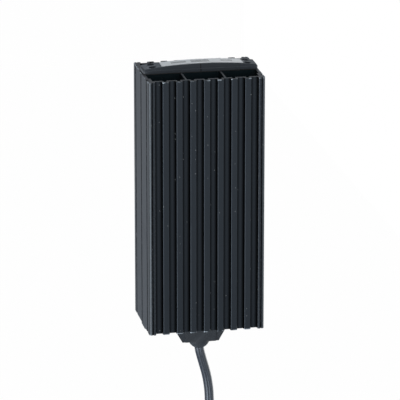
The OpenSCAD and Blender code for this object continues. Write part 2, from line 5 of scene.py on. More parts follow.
import bmesh
import bpy
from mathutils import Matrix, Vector


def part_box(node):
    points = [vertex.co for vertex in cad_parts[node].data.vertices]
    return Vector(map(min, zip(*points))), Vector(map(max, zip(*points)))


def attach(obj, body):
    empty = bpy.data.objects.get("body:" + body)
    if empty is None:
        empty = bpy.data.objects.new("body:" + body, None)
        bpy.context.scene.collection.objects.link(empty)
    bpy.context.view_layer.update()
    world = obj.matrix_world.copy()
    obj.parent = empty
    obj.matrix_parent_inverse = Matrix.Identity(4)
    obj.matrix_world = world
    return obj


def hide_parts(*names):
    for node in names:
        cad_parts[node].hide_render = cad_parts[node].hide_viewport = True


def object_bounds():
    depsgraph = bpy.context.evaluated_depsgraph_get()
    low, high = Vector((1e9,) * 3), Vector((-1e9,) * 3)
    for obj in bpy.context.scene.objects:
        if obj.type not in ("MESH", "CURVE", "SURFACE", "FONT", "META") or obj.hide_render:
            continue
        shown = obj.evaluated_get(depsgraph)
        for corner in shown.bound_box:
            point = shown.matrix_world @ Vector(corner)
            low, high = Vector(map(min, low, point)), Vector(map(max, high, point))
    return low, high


bl_info = {
    "name": "Enclosure heater",
    "version": (1, 0, 0),
    "blender": (4, 5, 0),
    "location": "View3D > Sidebar > Heater",
    "description": "Finishes, cable and small details of an upright enclosure heater",
    "category": "Object",
}

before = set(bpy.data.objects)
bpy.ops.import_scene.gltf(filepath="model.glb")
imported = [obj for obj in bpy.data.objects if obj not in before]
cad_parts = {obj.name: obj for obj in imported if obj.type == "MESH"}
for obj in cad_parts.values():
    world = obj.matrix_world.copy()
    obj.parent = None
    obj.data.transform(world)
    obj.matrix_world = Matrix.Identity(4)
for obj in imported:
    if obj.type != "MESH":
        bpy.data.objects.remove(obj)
CAD_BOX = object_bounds()
BODY = "root"
MM = 0.001

# Places taken from the fixed parts
PROFILE_LOW, PROFILE_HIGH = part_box("heatsink_profile")
PROFILE_MID = (PROFILE_LOW + PROFILE_HIGH) / 2
OUTLET = Vector((PROFILE_MID.x, PROFILE_MID.y, PROFILE_LOW.z))
LABEL_LOW, LABEL_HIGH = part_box("label_plate")
TIE_LOW, TIE_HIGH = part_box("cable_tie")
COIL_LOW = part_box("cable_coil")[0]

# Ridges of the profile's broad faces
RIDGES = 9
RIDGE_WIDTH = 4.1 * MM
RIDGE_PITCH = (PROFILE_HIGH.x - PROFILE_LOW.x - RIDGE_WIDTH) / (RIDGES - 1)
GROOVE_WIDTH = RIDGE_PITCH - RIDGE_WIDTH

# Route of the cable below the outlet, in metres from the middle of the profile's lower end
CABLE_POINTS = [
    (0, 0, -0.008), (0, 0, -0.013), (0, 0, -0.016), (0.0001, 0, -0.018), (0.0005, 0, -0.0205),
    (0.0011, 0, -0.023), (0.0023, 0, -0.0275), (0.0037, 0, -0.0325), (0.0049, 0, -0.0375),
    (0.0058, 0, -0.043), (0.0063, 0, -0.048), (0.0066, 0, -0.054), (0.0076, 0, -0.061),
    (0.0104, 0, -0.068), (0.0154, 0, -0.0744), (0.0216, 0, -0.08), (0.027, 0, -0.0858),
    (0.03, 0, -0.092), (0.031, 0, -0.098),
]
COIL_MIDDLE = Vector((0, 0.0087, -0.098))
TAIL_POINTS = [(0.031, 0.0174, -0.098), (0.031, 0.0174, -0.106), (0.031, 0.0174, -0.114), (0.031, 0.0174, -0.122)]


# Node helpers


def add_node(tree, kind, inputs=None, **settings):
    """Adds a node, sets its options, and fills its inputs with values or links."""
    node = tree.nodes.new(kind)
    for key, value in settings.items():
        setattr(node, key, value)
    for key, value in (inputs or {}).items():
        if isinstance(value, bpy.types.NodeSocket):
            tree.links.new(value, node.inputs[key])
        else:
            node.inputs[key].default_value = value
    return node


def calc(tree, operation, *values):
    """The result of a sum on values or links."""
    return add_node(tree, "ShaderNodeMath", dict(enumerate(values)), operation=operation).outputs[0]


def split(tree, vector):
    """The three parts of a vector."""
    return add_node(tree, "ShaderNodeSeparateXYZ", {"Vector": vector}).outputs


def object_place(tree):
    """The place on the piece, in the part's own frame."""
    return add_node(tree, "ShaderNodeTexCoord").outputs["Object"]


def facing(tree):
    """The way that a face looks, without its relief."""
    return split(tree, add_node(tree, "ShaderNodeNewGeometry").outputs["True Normal"])


def new_group(name, kind, inputs, outputs):
    """A node group with named sockets. Returns the tree, its input node and its output node."""
    tree = bpy.data.node_groups.new(name, kind)
    for label, socket, default in inputs:
        item = tree.interface.new_socket(name=label, in_out="INPUT", socket_type=socket)
        if default is not None:
            item.default_value = default
    for label, socket in outputs:
        tree.interface.new_socket(name=label, in_out="OUTPUT", socket_type=socket)
    return tree, tree.nodes.new("NodeGroupInput"), tree.nodes.new("NodeGroupOutput")


def mix_colour(tree, share, first, second):
    """A colour between two others."""
    node = add_node(tree, "ShaderNodeMix", {"Factor": share}, data_type="RGBA")
    for socket, value in ((node.inputs[6], first), (node.inputs[7], second)):
        if isinstance(value, bpy.types.NodeSocket):
            tree.links.new(value, socket)
        else:
            socket.default_value = (*value[:3], 1)
    return node.outputs[2]


def swing(tree, value, low, high):
    """Maps a value from 0 to 1 onto a range."""
    node = add_node(tree, "ShaderNodeMapRange", {"Value": value, "To Min": low, "To Max": high})
    return node.outputs["Result"]


# Effects that several finishes share


def drawn_lines_group():
    """Fine lines along the length of a drawn or extruded part."""
    tree, given, made = new_group(
        "drawn_lines", "ShaderNodeTree",
        [("Across", "NodeSocketFloat", 900.0), ("Along", "NodeSocketFloat", 3.0)],
        [("Tone", "NodeSocketFloat"), ("Height", "NodeSocketFloat")])
    place = object_place(tree)
    scale = add_node(tree, "ShaderNodeCombineXYZ", {
        "X": given.outputs["Across"], "Y": given.outputs["Across"], "Z": given.outputs["Along"]})
    stretched = add_node(tree, "ShaderNodeVectorMath", {0: place, 1: scale.outputs[0]}, operation="MULTIPLY")
    lines = add_node(tree, "ShaderNodeTexNoise", {
        "Vector": stretched.outputs[0], "Scale": 1.0, "Detail": 3.0, "Roughness": 0.6})
    broad = add_node(tree, "ShaderNodeTexNoise", {"Vector": place, "Scale": 45.0, "Detail": 3.0})
    tone = calc(tree, "ADD", lines.outputs["Fac"], broad.outputs["Fac"])
    tree.links.new(swing(tree, tone, -1.0, 1.5), made.inputs["Tone"])
    tree.links.new(lines.outputs["Fac"], made.inputs["Height"])
    return tree


def moulded_grain_group():
    """Fine even grain of a moulded or cast surface, with slow changes of tone."""
    tree, given, made = new_group(
        "moulded_grain", "ShaderNodeTree",
        [("Grain", "NodeSocketFloat", 2500.0), ("Patches", "NodeSocketFloat", 60.0)],
        [("Tone", "NodeSocketFloat"), ("Height", "NodeSocketFloat")])
    place = object_place(tree)
    grain = add_node(tree, "ShaderNodeTexNoise", {
        "Vector": place, "Scale": given.outputs["Grain"], "Detail": 2.0})
    patches = add_node(tree, "ShaderNodeTexNoise", {
        "Vector": place, "Scale": given.outputs["Patches"], "Detail": 4.0, "Roughness": 0.6})
    tree.links.new(patches.outputs["Fac"], made.inputs["Tone"])
    tree.links.new(grain.outputs["Fac"], made.inputs["Height"])
    return tree


def specks_group():
    """Sparse small specks of dust."""
    tree, given, made = new_group(
        "dust_specks", "ShaderNodeTree",
        [("Density", "NodeSocketFloat", 320.0), ("Radius", "NodeSocketFloat", 0.09),
         ("Chance", "NodeSocketFloat", 0.2)],
        [("Mask", "NodeSocketFloat")])
    place = object_place(tree)
    cells = add_node(tree, "ShaderNodeTexVoronoi", {"Vector": place, "Scale": given.outputs["Density"]})
    near = calc(tree, "LESS_THAN", cells.outputs["Distance"], given.outputs["Radius"])
    pick = add_node(tree, "ShaderNodeSeparateColor", {"Color": cells.outputs["Color"]})
    kept = calc(tree, "LESS_THAN", pick.outputs["Red"], given.outputs["Chance"])
    mask = calc(tree, "MULTIPLY", near, kept)
    tree.links.new(mask, made.inputs["Mask"])
    return tree


def groove_depth_group():
    """How much painted shade a place gets for its depth and slope in a face's grooves, and whether it lies behind that
    face's wall.
    """
    defaults = {
        "Away": 0.0, "Across": 0.0, "Facing": 0.0, "Face": 25 * MM, "Lip": 0.5 * MM, "Full": 1 * MM, "Limit": 30 * MM,
        "Pitch": 8 * MM, "Foot": 0.25, "Floor": 0.3, "Flank": 0.9, "Wall": 3.5 * MM}
    fade = 0.2
    tree, given, made = new_group(
        "groove_depth", "ShaderNodeTree", [(name, "NodeSocketFloat", value) for name, value in defaults.items()],
        [("Loss", "NodeSocketFloat"), ("Inside", "NodeSocketFloat")])
    away = calc(tree, "ABSOLUTE", given.outputs["Away"])
    depth = calc(tree, "SUBTRACT", given.outputs["Face"], away)
    deep = add_node(tree, "ShaderNodeMapRange", {
        "Value": depth, "From Min": given.outputs["Lip"], "From Max": given.outputs["Full"]})
    across = calc(tree, "ABSOLUTE", given.outputs["Across"])
    inside = calc(tree, "LESS_THAN", across, given.outputs["Limit"])
    steep = calc(tree, "ABSOLUTE", given.outputs["Facing"])
    turns = calc(tree, "DIVIDE", across, given.outputs["Pitch"])
    middle = calc(tree, "PINGPONG", turns, 0.5)
    clear = calc(tree, "SUBTRACT", middle, given.outputs["Foot"])
    floor = add_node(tree, "ShaderNodeMapRange", {
        "Value": clear, "From Max": fade, "To Min": given.outputs["Flank"], "To Max": given.outputs["Floor"]})
    loss = swing(tree, steep, floor.outputs["Result"], given.outputs["Flank"])
    full = calc(tree, "MULTIPLY", deep.outputs["Result"], inside)
    share = calc(tree, "MULTIPLY", full, loss)
    behind = calc(tree, "GREATER_THAN", depth, given.outputs["Wall"])
    hollow = calc(tree, "MULTIPLY", behind, inside)
    tree.links.new(share, made.inputs["Loss"])
    tree.links.new(hollow, made.inputs["Inside"])
    return tree


EFFECTS = {}


def effect(name):
    """One of the shared effects, built the first time that it is asked for."""
    makers = {
        "drawn_lines": drawn_lines_group, "moulded_grain": moulded_grain_group,
        "dust_specks": specks_group, "groove_depth": groove_depth_group}
    if name not in EFFECTS:
        EFFECTS[name] = makers[name]()
    return EFFECTS[name]


def place_effect(tree, name, values):
    """Places a shared effect in a material with its own values."""
    return add_node(tree, "ShaderNodeGroup", values, node_tree=effect(name))


# Finishes


def finish(name, colour, shade, pattern, values, *, roughness, spread, bump, sockets=None):
    """A finish whose tone, roughness and relief follow one of the shared effects."""
    relief_depth = 0.1 * MM
    material = bpy.data.materials.new(name)
    material.use_nodes = True
    tree = material.node_tree
    shader = tree.nodes["Principled BSDF"]
    grain = place_effect(tree, pattern, values)
    tone = grain.outputs["Tone"]
    tree.links.new(mix_colour(tree, tone, shade, colour), shader.inputs["Base Color"])
    tree.links.new(swing(tree, tone, roughness + spread, roughness - spread), shader.inputs["Roughness"])
    relief = add_node(tree, "ShaderNodeBump", {
        "Height": grain.outputs["Height"], "Strength": bump, "Distance": relief_depth})
    tree.links.new(relief.outputs["Normal"], shader.inputs["Normal"])
    for socket, value in (sockets or {}).items():
        shader.inputs[socket].default_value = value
    return material


def darker(colour, share):
    """A colour with its light cut to a share."""
    return tuple(c * share for c in colour[:3])


def base_link(material):
    """The socket that feeds a finish's base colour now."""
    shader = material.node_tree.nodes["Principled BSDF"]
    return shader.inputs["Base Color"].links[0].from_socket


def set_base(material, socket):
    """Feeds a finish's base colour from another socket."""
    shader = material.node_tree.nodes["Principled BSDF"]
    material.node_tree.links.new(socket, shader.inputs["Base Color"])


def dull_where(material, mask, roughness):
    """Changes a finish's roughness where a mask is set."""
    tree = material.node_tree
    socket = tree.nodes["Principled BSDF"].inputs["Roughness"]
    dull = add_node(tree, "ShaderNodeMix", {"Factor": mask, 2: socket.links[0].from_socket, 3: roughness})
    tree.links.new(dull.outputs[0], socket)


def add_specks(material, colour, values):
    """Lays dust specks over a finish."""
    tree = material.node_tree
    mask = place_effect(tree, "dust_specks", values).outputs["Mask"]
    set_base(material, mix_colour(tree, mask, base_link(material), colour))


def add_lit_sawn_ends(material, colour, roughness):
    """Makes the faces that look straight up or down duller, as a saw leaves them, and paler as painted light on the end
    faces.
    """
    level = 0.9
    tree = material.node_tree
    ends = calc(tree, "GREATER_THAN", calc(tree, "ABSOLUTE", facing(tree)["Z"]), level)
    # Painted light: the end faces take a paler colour for the light that they catch
    set_base(material, mix_colour(tree, ends, base_link(material), colour))
    dull_where(material, ends, roughness)


def add_corner_wear(material, colour, reach):
    """Scuffs the ridges that lie beyond a distance from the middle, where a profile is handled."""
    scale, faint, full = 1100.0, 0.52, 0.68
    tree = material.node_tree
    place = object_place(tree)
    outer = calc(tree, "GREATER_THAN", calc(tree, "ABSOLUTE", split(tree, place)["X"]), reach)
    scuffs = add_node(tree, "ShaderNodeTexNoise", {"Vector": place, "Scale": scale, "Detail": 4.0, "Roughness": 0.7})
    wear_and_highlight = add_node(tree, "ShaderNodeMapRange", {"Value": scuffs.outputs["Fac"], "From Min": faint, "From Max": full})
    mask = calc(tree, "MULTIPLY", outer, wear_and_highlight.outputs["Result"])
    set_base(material, mix_colour(tree, mask, base_link(material), colour))


def add_edge_highlights(material, colour):
    """Paints highlights: a paler strip along the four upright corners, and glints in spots along the sawn ends."""
    strip, end_glint_height, end_glint_depth = 1.4 * MM, 0.5 * MM, 0.6 * MM
    corner_highlight_share, scale, faint, full = 0.25, 260.0, 0.46, 0.58
    tree = material.node_tree
    place = object_place(tree)
    offset = add_node(tree, "ShaderNodeVectorMath", {0: place, 1: PROFILE_MID}, operation="SUBTRACT")
    away = add_node(tree, "ShaderNodeVectorMath", {0: offset.outputs[0]}, operation="ABSOLUTE")
    inset = add_node(tree, "ShaderNodeVectorMath", {
        0: PROFILE_HIGH - PROFILE_MID, 1: away.outputs[0]}, operation="SUBTRACT")
    parts = split(tree, inset.outputs[0])
    corner = calc(tree, "LESS_THAN", calc(tree, "ADD", parts["X"], parts["Y"]), strip)
    end = calc(tree, "LESS_THAN", parts["Z"], end_glint_height)
    outer = calc(tree, "LESS_THAN", calc(tree, "MINIMUM", parts["X"], parts["Y"]), end_glint_depth)
    spots = add_node(tree, "ShaderNodeTexNoise", {"Vector": place, "Scale": scale, "Detail": 3.0})
    patch = add_node(tree, "ShaderNodeMapRange", {"Value": spots.outputs["Fac"], "From Min": faint, "From Max": full})
    end_glint = calc(tree, "MULTIPLY", calc(tree, "MULTIPLY", end, patch.outputs["Result"]), outer)
    # Painted highlights: a paler strip down the rounded corners, and glints in spots at the ends' outer edges
    set_base(material, mix_colour(tree, corner, base_link(material), darker(colour, corner_highlight_share)))
    set_base(material, mix_colour(tree, end_glint, base_link(material), colour))


def add_groove_shade(material):
    """Paints shade into the profile's grooves, most of all their flanks, and paints the inside of its channels a darker
    tone as painted shade.
    """
    # Colours of the painted shade in the grooves and inside the channels
    shadow, channel_shade = (0.0005, 0.0005, 0.0005), (0.012, 0.021, 0.026)
    corner_width, side_depth, side_corner = 1.7 * MM, 1.6 * MM, 4 * MM
    tree = material.node_tree
    offset = add_node(tree, "ShaderNodeVectorMath", {0: object_place(tree), 1: PROFILE_MID}, operation="SUBTRACT")
    parts, look = split(tree, offset.outputs[0]), facing(tree)
    half = PROFILE_HIGH - PROFILE_MID
    broad = place_effect(tree, "groove_depth", {
        "Away": parts["Y"], "Across": parts["X"], "Facing": look["X"], "Face": half.y,
        "Lip": 0.15 * MM, "Full": 0.5 * MM, "Limit": half.x - corner_width,
        "Pitch": RIDGE_PITCH, "Foot": 0.5 - GROOVE_WIDTH / RIDGE_PITCH / 2, "Floor": 0.1, "Flank": 1.0})
    narrow = place_effect(tree, "groove_depth", {
        "Away": parts["X"], "Across": parts["Y"], "Facing": look["Y"], "Face": half.x,
        "Lip": 0.03 * MM, "Full": 0.12 * MM, "Limit": half.y - side_corner, "Floor": 0.9, "Flank": 1.0})
    # Away from the two sides the front and rear faces alone count
    edge = calc(tree, "GREATER_THAN", calc(tree, "ABSOLUTE", parts["X"]), half.x - side_depth)
    sides = calc(tree, "MULTIPLY", narrow.outputs["Loss"], edge)
    loss = calc(tree, "MAXIMUM", broad.outputs["Loss"], sides)
    # Painted shade: grooves darkened almost to black, most of all on their flanks, where little light reaches
    set_base(material, mix_colour(tree, loss, base_link(material), shadow))
    # Painted shade: faces inside the channels, behind the walls, take a dark painted-shade tone
    set_base(material, mix_colour(tree, broad.outputs["Inside"], base_link(material), channel_shade))


def add_witness_line(material, width, low):
    """Draws a fine dark line down the middle of the front above a height, where a mould's halves meet."""
    colour, front_limit = (0.004, 0.004, 0.005), -0.7
    tree = material.node_tree
    parts = split(tree, object_place(tree))
    near = calc(tree, "LESS_THAN", calc(tree, "ABSOLUTE", parts["X"]), width / 2)
    above = calc(tree, "GREATER_THAN", parts["Z"], low)
    front = calc(tree, "LESS_THAN", facing(tree)["Y"], front_limit)
    mask = calc(tree, "MULTIPLY", calc(tree, "MULTIPLY", near, above), front)
    set_base(material, mix_colour(tree, mask, base_link(material), colour))


def add_stripe(material, colour, middle):
    """Lays a second colour along one half of an insulated core."""
    tree = material.node_tree
    half = calc(tree, "GREATER_THAN", split(tree, object_place(tree))["X"], middle)
    set_base(material, mix_colour(tree, half, base_link(material), colour))


def dress(node, material):
    """Gives a fixed part its finish."""
    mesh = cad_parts[node].data
    mesh.materials.clear()
    mesh.materials.append(material)


def keep_piece(piece, slot, *nodes):
    """Ties a new piece to the body and hides the parts that it stands for. The slot is not used."""
    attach(piece, BODY)
    if nodes:
        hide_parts(*nodes)
    return piece


def apply_modifiers(piece):
    """Turns what a piece's modifiers make into its plain mesh."""
    graph = bpy.context.evaluated_depsgraph_get()
    mesh = bpy.data.meshes.new_from_object(piece.evaluated_get(graph))
    piece.modifiers.clear()
    piece.data = mesh
    mesh.name = piece.name


def softened(name, node, width, material):
    """A copy of a fixed part with its sharp edges rounded off."""
    merge, flat, crease, sharp = 0.002 * MM, math.radians(1), math.radians(25), math.radians(40)
    mesh = bpy.data.meshes.new(name)
    shape = bmesh.new()
    shape.from_mesh(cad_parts[node].data)
    bmesh.ops.remove_doubles(shape, verts=shape.verts, dist=merge)
    bmesh.ops.dissolve_limit(shape, angle_limit=flat, verts=shape.verts, edges=shape.edges)
    shape.to_mesh(mesh)
    shape.free()
    mesh.materials.append(material)
    piece = bpy.data.objects.new(name, mesh)
    bpy.context.scene.collection.objects.link(piece)
    mesh.shade_smooth()
    mesh.set_sharp_from_angle(angle=crease)
    bevel = piece.modifiers.new(name, "BEVEL")
    bevel.width = width
    bevel.segments = 2
    bevel.limit_method = "ANGLE"
    bevel.angle_limit = sharp
    bevel.harden_normals = True
    apply_modifiers(piece)
    return piece


# Geometry node helpers


def run_tree(name, tree, values):
    """Runs a geometry tree on an empty mesh, and returns the result as a plain mesh object."""
    piece = bpy.data.objects.new(name, bpy.data.meshes.new(name))
    bpy.context.scene.collection.objects.link(piece)
    modifier = piece.modifiers.new(name, "NODES")
    modifier.node_group = tree
    for item in tree.interface.items_tree:
        if item.in_out == "INPUT" and item.name in values:
            modifier[item.identifier] = values[item.name]
    apply_modifiers(piece)
    return piece


def end_tree(tree, made, geometry, material):
    """Closes a geometry tree with plain geometry and a material."""
    plain = add_node(tree, "GeometryNodeRealizeInstances", {"Geometry": geometry})
    painted = add_node(tree, "GeometryNodeSetMaterial", {"Geometry": plain.outputs[0], "Material": material})
    tree.links.new(painted.outputs[0], made.inputs["Geometry"])


def ruled_field_tree():
    """Rows of thin printed rules that lie on the arched label."""
    tree, given, made = new_group(
        "ruled_field", "GeometryNodeTree",
        [("Length", "NodeSocketFloat", 0.01), ("Width", "NodeSocketFloat", 0.0005),
         ("Thickness", "NodeSocketFloat", 0.00005), ("Rows", "NodeSocketInt", 3),
         ("Pitch", "NodeSocketFloat", 0.001), ("Middle", "NodeSocketVector", None),
         ("Arch", "NodeSocketFloat", 0.285), ("Material", "NodeSocketMaterial", None)],
        [("Geometry", "NodeSocketGeometry")])
    step = add_node(tree, "ShaderNodeCombineXYZ", {"Y": given.outputs["Pitch"]})
    rows = add_node(tree, "GeometryNodeMeshLine", {
        "Count": given.outputs["Rows"], "Start Location": given.outputs["Middle"], "Offset": step.outputs[0]})
    size = add_node(tree, "ShaderNodeCombineXYZ", {
        "X": given.outputs["Length"], "Y": given.outputs["Width"], "Z": given.outputs["Thickness"]})
    rule = add_node(tree, "GeometryNodeMeshCube", {"Size": size.outputs[0], "Vertices X": 12})
    laid = add_node(tree, "GeometryNodeInstanceOnPoints", {
        "Points": rows.outputs["Mesh"], "Instance": rule.outputs["Mesh"]})
    plain = add_node(tree, "GeometryNodeRealizeInstances", {"Geometry": laid.outputs[0]})
    place = split(tree, add_node(tree, "GeometryNodeInputPosition").outputs[0])
    drop = calc(tree, "DIVIDE", calc(tree, "POWER", place["X"], 2.0), given.outputs["Arch"])
    offset = add_node(tree, "ShaderNodeCombineXYZ", {"Z": calc(tree, "MULTIPLY", drop, -0.5)})
    bent = add_node(tree, "GeometryNodeSetPosition", {"Geometry": plain.outputs[0], "Offset": offset.outputs[0]})
    end_tree(tree, made, bent.outputs[0], given.outputs["Material"])
    return tree


def strap_teeth_tree():
    """Small ribs round the outside of the cable tie's strap."""
    tree, given, made = new_group(
        "strap_teeth", "GeometryNodeTree",
        [("Across", "NodeSocketFloat", 0.008), ("Along", "NodeSocketFloat", 0.014),
         ("Radius", "NodeSocketFloat", 0.004), ("Pitch", "NodeSocketFloat", 0.001),
         ("Tooth", "NodeSocketVector", None), ("Middle", "NodeSocketVector", None),
         ("Material", "NodeSocketMaterial", None)],
        [("Geometry", "NodeSocketGeometry")])
    frame_curve = add_node(tree, "GeometryNodeCurvePrimitiveQuadrilateral", {
        "Width": given.outputs["Across"], "Height": given.outputs["Along"]})
    rounded = add_node(tree, "GeometryNodeFilletCurve", {
        "Curve": frame_curve.outputs[0], "Radius": given.outputs["Radius"], "Count": 12, "Limit Radius": True},
        mode="POLY")
    points = add_node(tree, "GeometryNodeCurveToPoints", {
        "Curve": rounded.outputs[0], "Length": given.outputs["Pitch"]}, mode="LENGTH")
    tooth = add_node(tree, "GeometryNodeMeshCube", {"Size": given.outputs["Tooth"]})
    laid = add_node(tree, "GeometryNodeInstanceOnPoints", {
        "Points": points.outputs["Points"], "Instance": tooth.outputs["Mesh"], "Rotation": points.outputs["Rotation"]})
    plain = add_node(tree, "GeometryNodeRealizeInstances", {"Geometry": laid.outputs[0]})
    moved = add_node(tree, "GeometryNodeTransform", {
        "Geometry": plain.outputs[0], "Translation": given.outputs["Middle"]})
    end_tree(tree, made, moved.outputs[0], given.outputs["Material"])
    return tree


# Cable


def smooth_step(share):
    """Goes from 0 to 1 with level ends."""
    share = min(max(share, 0.0), 1.0)
    return share * share * (3 - 2 * share)


def smooth_route(points, steps):
    """A smooth line through the points of a route."""
    knots = [Vector(p) for p in points]
    knots = [2 * knots[0] - knots[1], *knots, 2 * knots[-1] - knots[-2]]
    line = []
    for a, b, c, d in zip(knots, knots[1:], knots[2:], knots[3:]):
        for i in range(steps):
            t = i / steps
            line.append(0.5 * (2 * b + (c - a) * t + (2 * a - 5 * b + 4 * c - d) * t ** 2
                               + (3 * b - a - 3 * c + d) * t ** 3))
    return line + [knots[-2]]


def coil_line(radius, width, steps):
    """Two turns side by side, between the lead-in in front of them and the tail behind them."""
    turns, full_turn, ease, cross = 2, 360.0, 90.0, 80.0
    line = []
    for i in range(1, turns * steps):
        angle = full_turn * i / steps
        y = -COIL_MIDDLE.y
        y += (COIL_MIDDLE.y - width / 2) * smooth_step(angle / ease)
        y += width * smooth_step((angle - full_turn + cross) / (2 * cross))
        y += (COIL_MIDDLE.y - width / 2) * smooth_step((angle - turns * full_turn + ease) / ease)
        turn = math.radians(angle)
        line.append(COIL_MIDDLE + Vector((radius * math.cos(turn), y, -radius * math.sin(turn))))
    return line


def jacket_section(diameter):
    """The jacket's outline as angles and radii, with a fine groove along its front and its rear."""
    sides, width, depth, turn = 28, 0.15, 0.08 * diameter, math.radians(8)
    across = (-2, -1.4, -0.9, -0.45, 0, 0.45, 0.9, 1.4, 2)
    grooves = [math.pi / 2 + turn, 3 * math.pi / 2 + turn]
    angles = {2 * math.pi * i / sides for i in range(sides)}
    angles |= {g + width * share for g in grooves for share in across}
    section = []
    for angle in sorted(angles):
        cut = sum(math.exp(-((angle - g) / width) ** 2) for g in grooves)
        section.append((angle, diameter / 2 - depth * cut))
    return section


def cable_mesh(name, line, diameter, material):
    """A cable along a line of points, its groove kept towards the front."""
    crease = math.radians(60)
    section = jacket_section(diameter)
    places, faces = [], []
    for before, place, after in zip([line[0], *line], line, [*line[1:], line[-1]]):
        along = (after - before).normalized()
        right = Vector((0, -1, 0)).cross(along).normalized()
        front = along.cross(right)
        places += [place + radius * (math.cos(angle) * right + math.sin(angle) * front) for angle, radius in section]
    count = len(section)
    for ring in range(len(line) - 1):
        for i in range(count):
            a, b = ring * count + i, ring * count + (i + 1) % count
            faces.append((a, b, b + count, a + count))
    faces.append(tuple(range(count)))
    faces.append(tuple(range(len(places) - 1, len(places) - count - 1, -1)))
    mesh = bpy.data.meshes.new(name)
    mesh.from_pydata(places, [], faces)
    shape = bmesh.new()
    shape.from_mesh(mesh)
    bmesh.ops.recalc_face_normals(shape, faces=shape.faces)
    shape.to_mesh(mesh)
    shape.free()
    mesh.materials.append(material)
    mesh.shade_smooth()
    mesh.set_sharp_from_angle(angle=crease)
    piece = bpy.data.objects.new(name, mesh)
    bpy.context.scene.collection.objects.link(piece)
    return piece


# Values that a user would change


class HeaterFinish(bpy.types.PropertyGroup):
    """Colours of the finishes, as linear light."""
    anodised: bpy.props.FloatVectorProperty(
        name="Anodised profile", description="Colour of the extruded profile", subtype="COLOR", size=3,
        default=(0.022, 0.027, 0.033), min=0, max=1)
    # Paler than the anodised colour: painted light on the profile's end faces
    sawn: bpy.props.FloatVectorProperty(
        name="Sawn ends", description="Colour of the profile's two end faces", subtype="COLOR", size=3,
        default=(0.05, 0.055, 0.062), min=0, max=1)
    # Colour of the painted highlights on the profile's upright corners and end edges
    wear_and_highlight: bpy.props.FloatVectorProperty(
        name="Worn edges", description="Colour of the profile's rubbed and sawn edges", subtype="COLOR", size=3,
        default=(0.185, 0.215, 0.245), min=0, max=1)
    moulding: bpy.props.FloatVectorProperty(
        name="Mouldings", description="Colour of the caps", subtype="COLOR", size=3,
        default=(0.035, 0.0425, 0.052), min=0, max=1)
    label: bpy.props.FloatVectorProperty(
        name="Label", description="Colour of the label strip", subtype="COLOR", size=3,
        default=(0.47, 0.5, 0.525), min=0, max=1)
    ink: bpy.props.FloatVectorProperty(
        name="Label rules", description="Colour of the printed rules", subtype="COLOR", size=3,
        default=(0.02, 0.022, 0.025), min=0, max=1)
    jacket: bpy.props.FloatVectorProperty(
        name="Cable", description="Colour of the cable's jacket", subtype="COLOR", size=3,
        default=(0.015, 0.018, 0.027), min=0, max=1)


class HeaterCable(bpy.types.PropertyGroup):
    """Sizes of the cable."""
    diameter: bpy.props.FloatProperty(
        name="Diameter", description="Outer diameter of the cable", unit="LENGTH", default=5.7 * MM)
    coil_radius: bpy.props.FloatProperty(
        name="Coil radius", description="Radius of the coil at the middle of the cable", unit="LENGTH",
        default=31 * MM)


class HeaterStage(bpy.types.PropertyGroup):
    """Camera and light."""
    turn: bpy.props.FloatProperty(
        name="Camera turn", description="Angle of the camera to the left of the front", subtype="ANGLE",
        default=0.1995)
    rise: bpy.props.FloatProperty(
        name="Camera rise", description="Angle of the camera above the horizon", subtype="ANGLE",
        default=0.2975)
    distance: bpy.props.FloatProperty(
        name="Camera distance", description="Distance from the middle of the front", unit="LENGTH", default=1.9)
    lens: bpy.props.FloatProperty(
        name="Lens", description="Focal length on a sensor 36 mm wide", unit="CAMERA", default=288.65)
    aim_left: bpy.props.FloatProperty(
        name="Aim left", description="How far the aim lies left of the middle", unit="LENGTH", default=4.3 * MM)
    aim_up: bpy.props.FloatProperty(
        name="Aim up", description="How far the aim lies above the middle", unit="LENGTH", default=4.6 * MM)
    side_light: bpy.props.FloatProperty(
        name="Side light", description="Power of the large lamp on the left", unit="POWER", default=30)
    right_light: bpy.props.FloatProperty(
        name="Right light", description="Power of the small lamp on the right", unit="POWER", default=1.4)
    rear_light: bpy.props.FloatProperty(
        name="Rear lights", description="Power of each of the two lamps behind", unit="POWER", default=5)
    front_light: bpy.props.FloatProperty(
        name="Front light", description="Power of the lamp in front", unit="POWER", default=0.45)
    top_light: bpy.props.FloatProperty(
        name="Top light", description="Power of the lamp above", unit="POWER", default=26)
    ambient: bpy.props.FloatProperty(
        name="Ambient", description="Level of the light from all round", default=0.02, min=0, max=1)
    paper: bpy.props.FloatVectorProperty(
        name="Mirrored paper", description="Light of the paper as the finishes mirror it", subtype="COLOR", size=3,
        default=(0.56, 0.64, 0.75), min=0, max=1)


# Operators


class HEATER_OT_profile(bpy.types.Operator):
    """Finish the extruded profile"""
    bl_idname = "heater.profile"
    bl_label = "Profile"

    def execute(self, context):
        look = context.scene.heater_finish
        scuffed, dust, scuffed_width = (0.045, 0.049, 0.054), (0.16, 0.17, 0.18), 4.2 * MM
        black = finish("black_anodised", look.anodised, darker(look.anodised, 0.8),
                       "drawn_lines", {"Across": 1400.0, "Along": 4.0},
                       roughness=0.55, spread=0.07, bump=0.15, sockets={"Metallic": 1.0})
        # Painted shade in the grooves and channels, painted light on the end faces, painted highlights on the edges
        add_groove_shade(black)
        add_lit_sawn_ends(black, look.sawn, roughness=0.65)
        add_edge_highlights(black, look.wear_and_highlight)
        add_corner_wear(black, scuffed, reach=PROFILE_HIGH.x - scuffed_width)
        add_specks(black, dust, {"Density": 420.0, "Radius": 0.1, "Chance": 0.18})
        dress("heatsink_profile", black)
        return {"FINISHED"}


